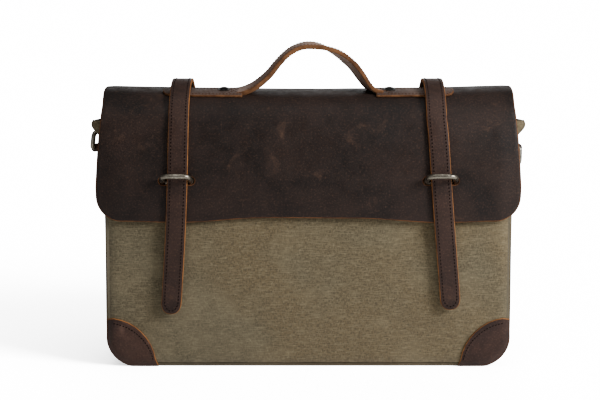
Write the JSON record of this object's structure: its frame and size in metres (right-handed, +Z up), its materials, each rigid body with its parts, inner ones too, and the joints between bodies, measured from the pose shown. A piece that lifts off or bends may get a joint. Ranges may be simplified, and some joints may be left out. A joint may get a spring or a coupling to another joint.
{
  "type": "messenger bag",
  "caption": "Canvas briefcase-style messenger bag with a leather fold-over flap, tuck straps through metal loops, a carry handle and side rings.",
  "frame": {"origin": "middle of the footprint of the whole bag, on the surface that it stands on", "axes": "+X to the viewer's right facing the front, -Y out of the front, +Z up"},
  "size_m": [0.4405, 0.122, 0.3243],
  "materials": {
    "canvas": "heavy waxed cotton twill, olive",
    "lining_cloth": "plain cotton lining",
    "padded_cloth": "padded cotton",
    "flap_leather": "pull-up leather, dark brown, matt",
    "strap_leather": "pull-up leather, brown",
    "handle_leather": "pull-up leather, worn lighter",
    "patch_leather": "pull-up leather, rubbed",
    "dark_metal": "dark antique plating",
    "board": "stiff fibre board",
    "zip_metal": "antique brass"
  },
  "bodies": {
    "bag": {"front_panel": "canvas", "back_panel": "canvas", "gusset_left": "canvas", "gusset_right": "canvas", "bottom_panel": "canvas", "lining": "lining_cloth", "slip_pocket": "lining_cloth", "zip_pocket": "lining_cloth", "zip_tape": "lining_cloth", "zip_teeth": "zip_metal", "laptop_divider": "padded_cloth", "bottom_board": "board", "corner_patch_front_left": "patch_leather", "corner_patch_front_right": "patch_leather", "corner_patch_back_left": "patch_leather", "corner_patch_back_right": "patch_leather", "mouth_facing_front": "patch_leather", "mouth_facing_back": "patch_leather", "loop_tab_left": "patch_leather", "loop_tab_right": "patch_leather", "side_tab_left": "patch_leather", "side_tab_right": "patch_leather", "flap_back": "flap_leather"},
    "flap_top": {"flap_top": "flap_leather", "handle_backing_strip": "flap_leather", "handle_base_left": "handle_leather", "handle_base_right": "handle_leather", "handle_rivets": "dark_metal", "rivet_washers": "dark_metal", "strap_crown_left": "strap_leather", "strap_crown_right": "strap_leather"},
    "flap_front": {"flap_front": "flap_leather"},
    "strap_left": {"strap_front_left": "strap_leather"},
    "strap_right": {"strap_front_right": "strap_leather"},
    "handle": {"handle_grip": "handle_leather"},
    "loop_left": {"strap_loop_left": "dark_metal"},
    "loop_right": {"strap_loop_right": "dark_metal"},
    "side_ring_left": {"side_ring_left": "dark_metal"},
    "side_ring_right": {"side_ring_right": "dark_metal"},
    "zip_slider": {"zip_slider": "zip_metal"},
    "zip_pull": {"zip_pull": "zip_metal"}
  },
  "joints": [
    {"name": "flap_hinge", "type": "hinge", "parent": "bag", "child": "flap_top", "pos_m": [0, 0.05598, 0.25753], "axis": [-1, 0, 0], "range_deg": [0, 180]},
    {"name": "flap_fold", "type": "hinge", "parent": "flap_top", "child": "flap_front", "pos_m": [0, -0.02712, 0.26461], "axis": [-1, 0, 0], "range_deg": [0, 90]},
    {"name": "strap_left_lift", "type": "hinge", "parent": "flap_front", "child": "strap_left", "pos_m": [-0.1276, -0.03835, 0.25281], "axis": [-1, 0, 0], "range_deg": [0, 95]},
    {"name": "strap_right_lift", "type": "hinge", "parent": "flap_front", "child": "strap_right", "pos_m": [0.126, -0.03835, 0.25281], "axis": [-1, 0, 0], "range_deg": [0, 95]},
    {"name": "handle_tilt", "type": "hinge", "parent": "flap_top", "child": "handle", "pos_m": [0, -0.0008, 0.281], "axis": [-1, 0, 0], "range_deg": [-40, 40]},
    {"name": "loop_left_swing", "type": "hinge", "parent": "bag", "child": "loop_left", "pos_m": [-0.1296, -0.04171, 0.18871], "axis": [-1, 0, 0], "range_deg": [0, 6]},
    {"name": "loop_right_swing", "type": "hinge", "parent": "bag", "child": "loop_right", "pos_m": [0.1303, -0.04171, 0.18871], "axis": [-1, 0, 0], "range_deg": [0, 6]},
    {"name": "side_ring_left_swing", "type": "hinge", "parent": "bag", "child": "side_ring_left", "pos_m": [-0.214, 0.0128, 0.2195], "axis": [-0.5, -0.866, 0], "range_deg": [0, 150]},
    {"name": "side_ring_right_swing", "type": "hinge", "parent": "bag", "child": "side_ring_right", "pos_m": [0.212, 0.0128, 0.2195], "axis": [0.309, -0.9511, 0], "range_deg": [0, 150]},
    {"name": "zip_slide", "type": "slide", "parent": "bag", "child": "zip_slider", "axis": [-1, 0, 0], "range_m": [0, 0.17]},
    {"name": "zip_pull_swing", "type": "hinge", "parent": "zip_slider", "child": "zip_pull", "pos_m": [0.087, 0.0184, 0.182], "axis": [-1, 0, 0], "range_deg": [0, 95]}
  ]
}
